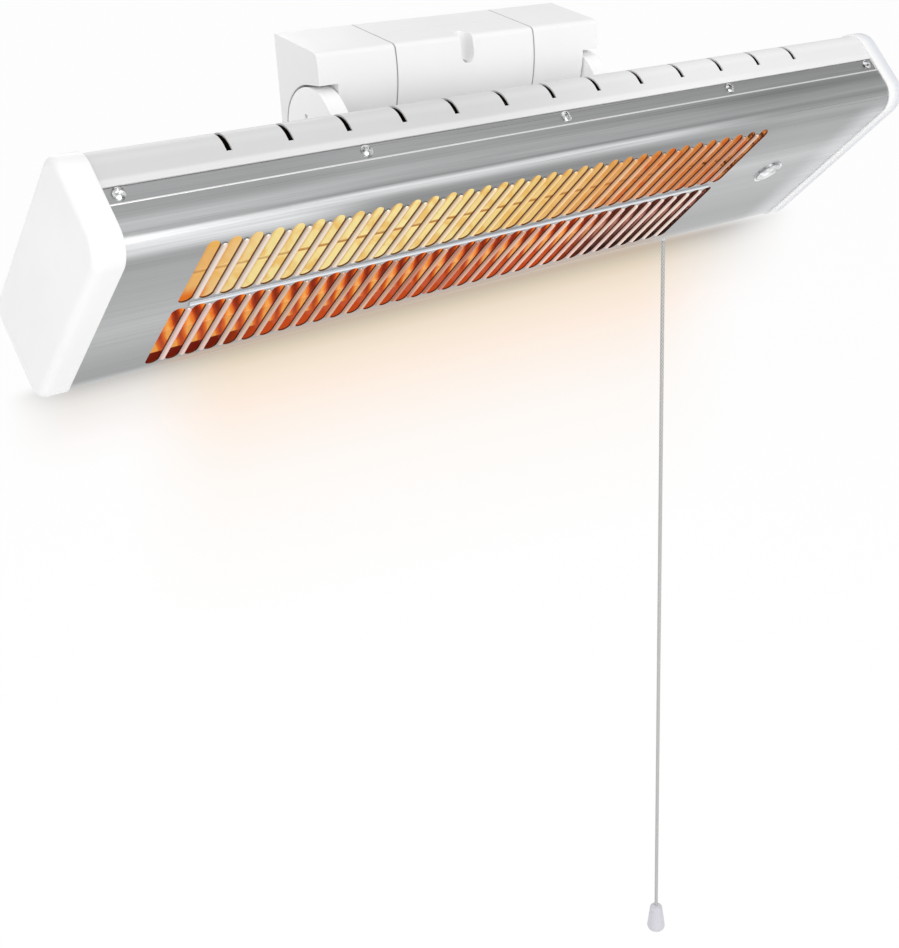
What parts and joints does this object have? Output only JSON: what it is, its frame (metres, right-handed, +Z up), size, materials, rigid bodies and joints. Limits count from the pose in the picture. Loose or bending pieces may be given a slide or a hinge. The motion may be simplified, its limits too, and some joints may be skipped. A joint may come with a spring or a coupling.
{
  "type": "infrared patio heater",
  "caption": "Wall-mounted infrared heater: long tilting head with slotted steel front and glowing tubes, white shell and end caps, pivot bracket and hanging pull cord with a bell knob.",
  "frame": {"origin": "centre of the bracket's back face, on the wall", "axes": "+Y into the wall, +Z up, +X along the heater towards the pull cord; the room is on the -Y side"},
  "size_m": [0.6, 0.1476, 0.8204],
  "materials": {
    "white_plastic": "smooth white moulding",
    "white_paint": "white powder coat on sheet steel",
    "brushed_steel": "stainless sheet brushed along its length",
    "zinc": "zinc-plated steel",
    "reflector": "bright rolled aluminium",
    "quartz": "hot quartz glass, glowing yellow to orange",
    "coil": "glowing resistance wire",
    "ceramic": "unglazed ceramic",
    "lens": "polished clear grey lens",
    "brass": "plain brass",
    "rubber": "black fibre washer",
    "cord": "white braided cord"
  },
  "bodies": {
    "bracket": {"wall_plate": "zinc", "bracket_housing": "white_plastic", "left_shoulder": "white_plastic", "right_shoulder": "white_plastic", "bracket_cover": "white_plastic", "cover_screw": "zinc", "plate_screws": "zinc", "left_pivot_bolt": "zinc", "right_pivot_bolt": "zinc", "pivot_washers": "rubber", "pivot_nuts": "zinc"},
    "head": {"front_cover": "brushed_steel", "rear_shell": "white_paint", "left_end_cap": "white_plastic", "right_end_cap": "white_plastic", "strip_screws": "zinc", "left_lug": "white_plastic", "right_lug": "white_plastic", "lug_screws": "zinc", "reflector": "reflector", "left_tube_bracket": "zinc", "right_tube_bracket": "zinc", "upper_tube": "quartz", "middle_tube": "quartz", "lower_tube": "quartz", "upper_coil": "coil", "middle_coil": "coil", "lower_coil": "coil", "left_ceramics": "ceramic", "right_ceramics": "ceramic", "terminal_block": "ceramic", "pull_switch": "white_plastic", "cord_bush": "white_plastic", "indicator_lens": "lens", "indicator_lamp": "brass", "cable_gland": "white_plastic"},
    "link": {"switch_link": "zinc"},
    "cord": {"cord_ring": "zinc", "pull_cord": "cord", "cord_knob": "white_plastic"}
  },
  "joints": [
    {"name": "head_tilt", "type": "hinge", "parent": "bracket", "child": "head", "pos_m": [0, -0.031, -0.007], "axis": [1, 0, 0], "range_deg": [-44, 6]},
    {"name": "cord_pull", "type": "slide", "parent": "head", "child": "link", "axis": [0, 0.7547, -0.6561], "range_m": [0, 0.01], "stiffness_N_per_m": 1200, "springref_m": -0.003},
    {"name": "cord_swing", "type": "hinge", "parent": "link", "child": "cord", "pos_m": [0.198, -0.01945, -0.11642], "axis": [1, 0, 0], "range_deg": [-10, 46]}
  ],
  "couplings": [
    {"joint": "cord_swing", "follows": "head_tilt", "ratio": -1}
  ]
}
